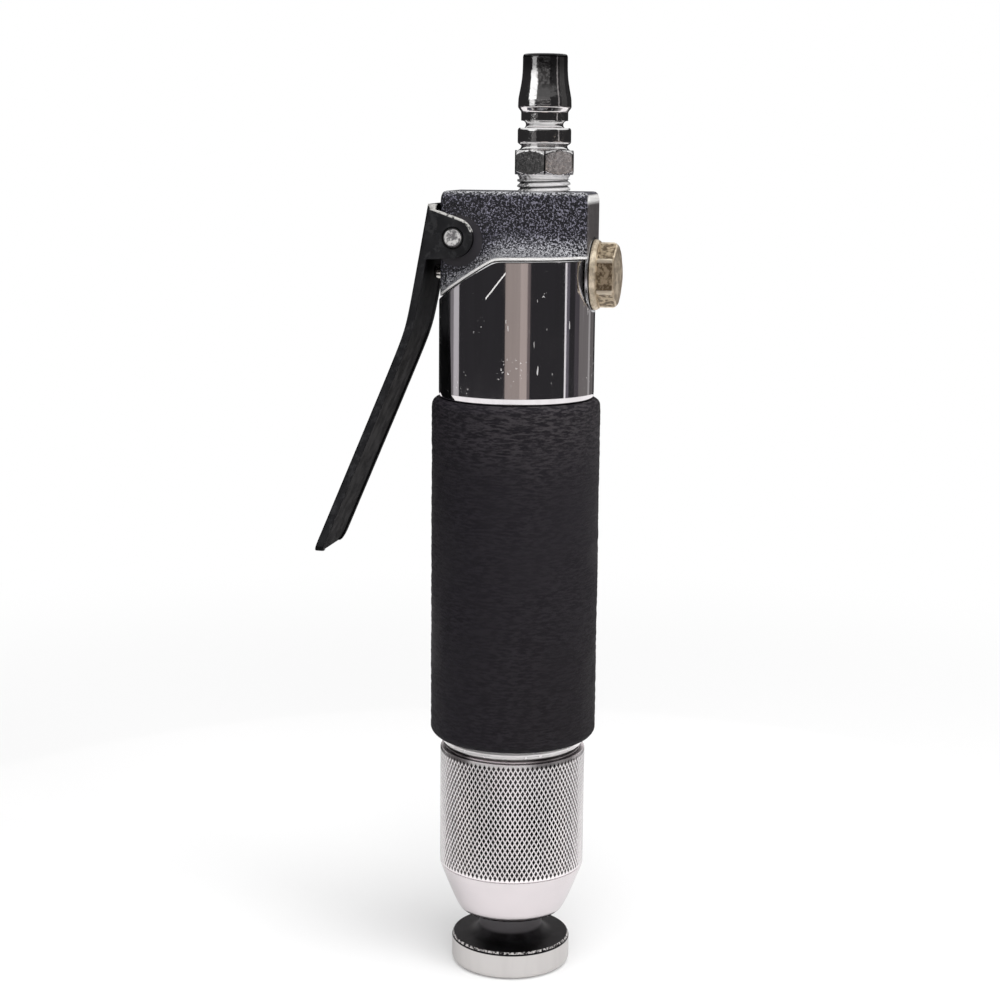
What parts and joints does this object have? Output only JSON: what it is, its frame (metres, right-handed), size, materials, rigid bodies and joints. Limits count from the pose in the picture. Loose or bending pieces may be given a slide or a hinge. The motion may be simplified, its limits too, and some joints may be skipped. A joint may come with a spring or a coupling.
{
  "type": "pneumatic rivet gun",
  "caption": "Straight air-driven rivet hammer with lever throttle, foam grip, knurled retaining cap and flat round rivet set.",
  "frame": {"origin": "centre of the rivet set's flat working face", "axes": "+Z along the body from the rivet set to the air plug, +X towards the hexagon valve cap, -X towards the throttle lever, +Y away from the side that shows the lever at the left"},
  "size_m": [0.0773, 0.0428, 0.235],
  "materials": {
    "crinkle_black": "black crinkle paint on a casting",
    "foam_black": "black foam sleeve with fine wrinkles",
    "chrome": "bright chrome plate with small scratches",
    "satin_steel": "satin machined steel",
    "worn_black_steel": "worn black oxide on formed sheet steel",
    "zinc_yellow": "yellow zinc plate, matt and pebbled",
    "nickel": "bright nickel plate",
    "brass": "turned brass",
    "seal_black": "nitrile rubber",
    "urethane_amber": "cast urethane",
    "spring_steel": "hard ground steel"
  },
  "bodies": {
    "housing": {"head_casting": "crinkle_black", "barrel": "chrome", "grip_sleeve": "foam_black", "cylinder": "satin_steel", "cylinder_o_ring": "seal_black", "head_o_ring": "seal_black", "valve_box": "satin_steel", "valve_box_cap": "satin_steel", "dowel_pin": "spring_steel", "guide_bush": "brass", "coupler_plug": "chrome", "inlet_strainer": "brass", "lever_pin": "nickel", "stem_bush": "brass", "stem_o_ring": "seal_black", "valve_seat": "brass", "valve_cap": "zinc_yellow", "valve_cap_washer": "spring_steel", "valve_spring": "spring_steel", "cap_o_ring": "seal_black"},
    "lever": {"throttle_lever": "worn_black_steel"},
    "throttle": {"push_pin": "nickel", "throttle_valve": "brass", "valve_disc": "seal_black"},
    "distributor": {"distribution_valve": "brass"},
    "striker": {"piston": "spring_steel"},
    "cap_carrier": {"buffer_ring": "urethane_amber"},
    "cap": {"knurled_cap": "satin_steel"},
    "set_carrier": {"retaining_collar_left": "nickel", "retaining_collar_right": "nickel", "collar_band": "seal_black"},
    "set": {"rivet_set": "satin_steel"}
  },
  "joints": [
    {"name": "lever_squeeze", "type": "hinge", "parent": "housing", "child": "lever", "pos_m": [-0.0142, 0, 0.1904], "axis": [0, -1, 0], "range_deg": [0, 10], "stiffness_Nm_per_rad": 0.15, "springref_deg": -28.65},
    {"name": "throttle_push", "type": "slide", "parent": "housing", "child": "throttle", "axis": [1, 0, 0], "range_m": [0, 0.0016], "deforming": ["valve_spring"]},
    {"name": "distributor_shuttle", "type": "slide", "parent": "housing", "child": "distributor", "axis": [0, 0, 1], "range_m": [0, 0.0018]},
    {"name": "piston_stroke", "type": "slide", "parent": "housing", "child": "striker", "axis": [0, 0, 1], "range_m": [0, 0.038]},
    {"name": "cap_turn", "type": "hinge", "parent": "cap_carrier", "child": "cap", "pos_m": [0, 0, 0.04], "axis": [0, 0, -1], "range_deg": [0, 2160]},
    {"name": "cap_travel", "type": "slide", "parent": "housing", "child": "cap_carrier", "axis": [0, 0, -1], "range_m": [0, 0.0091]},
    {"name": "set_drop", "type": "slide", "parent": "cap_carrier", "child": "set_carrier", "axis": [0, 0, -1], "range_m": [0, 0.0038]},
    {"name": "set_spin", "type": "hinge", "parent": "set_carrier", "child": "set", "pos_m": [0, 0, 0.03], "axis": [0, 0, 1], "continuous": true}
  ],
  "couplings": [
    {"joint": "throttle_push", "follows": "lever_squeeze", "m_per_rad": 0.0088},
    {"joint": "cap_travel", "follows": "cap_turn", "m_per_rad": 0.00023873}
  ]
}
